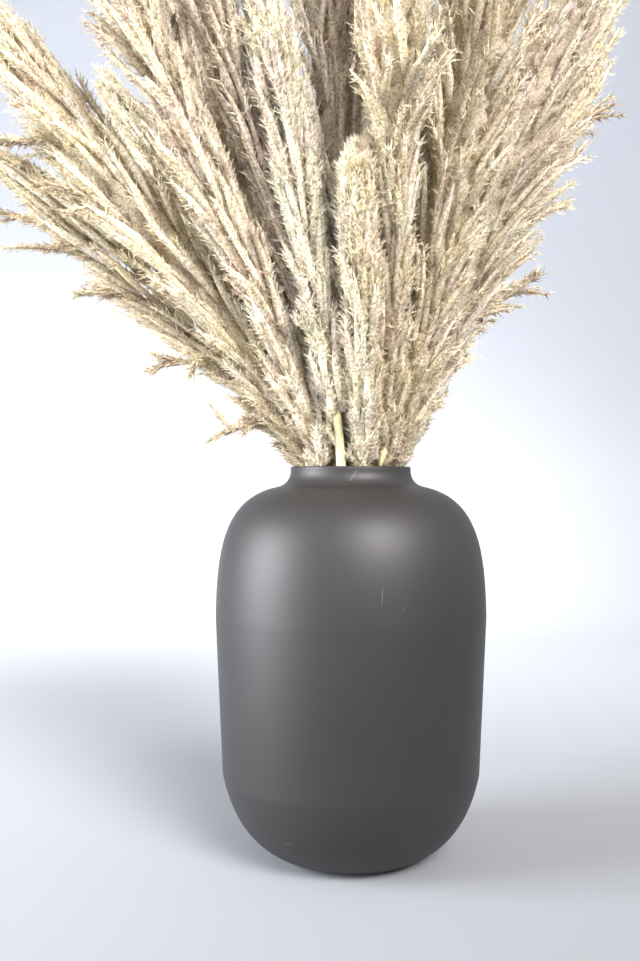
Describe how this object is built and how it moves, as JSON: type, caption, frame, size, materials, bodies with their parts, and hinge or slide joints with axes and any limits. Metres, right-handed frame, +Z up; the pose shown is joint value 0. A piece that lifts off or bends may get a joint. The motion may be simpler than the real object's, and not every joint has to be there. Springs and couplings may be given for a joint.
{
  "type": "vase of pampas grass",
  "caption": "Tall round-shouldered matt dark vase filled with a wide, loose bunch of dried pampas grass plumes that arch outwards from its mouth.",
  "frame": {"origin": "middle of the vase's flat foot, on the surface that it stands on", "axes": "+Z up along the vase's axis, -Y towards the side that the picture shows, +X to the right seen from there"},
  "size_m": [0.6449, 0.4562, 0.8854],
  "materials": {
    "matte_charcoal": "smooth matt dark grey glaze",
    "dried_cream": "dry fibrous cream",
    "dried_tan": "dry fibrous tan",
    "dried_taupe": "dry fibrous grey-brown"
  },
  "bodies": {
    "root": {"vase": "matte_charcoal", "pampas_stalk_01": "dried_cream", "pampas_stalk_02": "dried_cream", "pampas_stalk_03": "dried_tan", "pampas_stalk_04": "dried_cream", "pampas_stalk_05": "dried_cream", "pampas_stalk_06": "dried_cream", "pampas_stalk_07": "dried_cream", "pampas_stalk_08": "dried_tan", "pampas_stalk_09": "dried_cream", "pampas_stalk_10": "dried_tan", "pampas_stalk_11": "dried_cream", "pampas_stalk_12": "dried_taupe", "pampas_stalk_13": "dried_tan", "pampas_stalk_14": "dried_cream", "pampas_stalk_15": "dried_tan", "pampas_stalk_16": "dried_taupe", "pampas_stalk_17": "dried_taupe", "pampas_stalk_18": "dried_tan", "pampas_stalk_19": "dried_cream", "pampas_stalk_20": "dried_tan", "pampas_stalk_21": "dried_cream"}
  },
  "joints": []
}
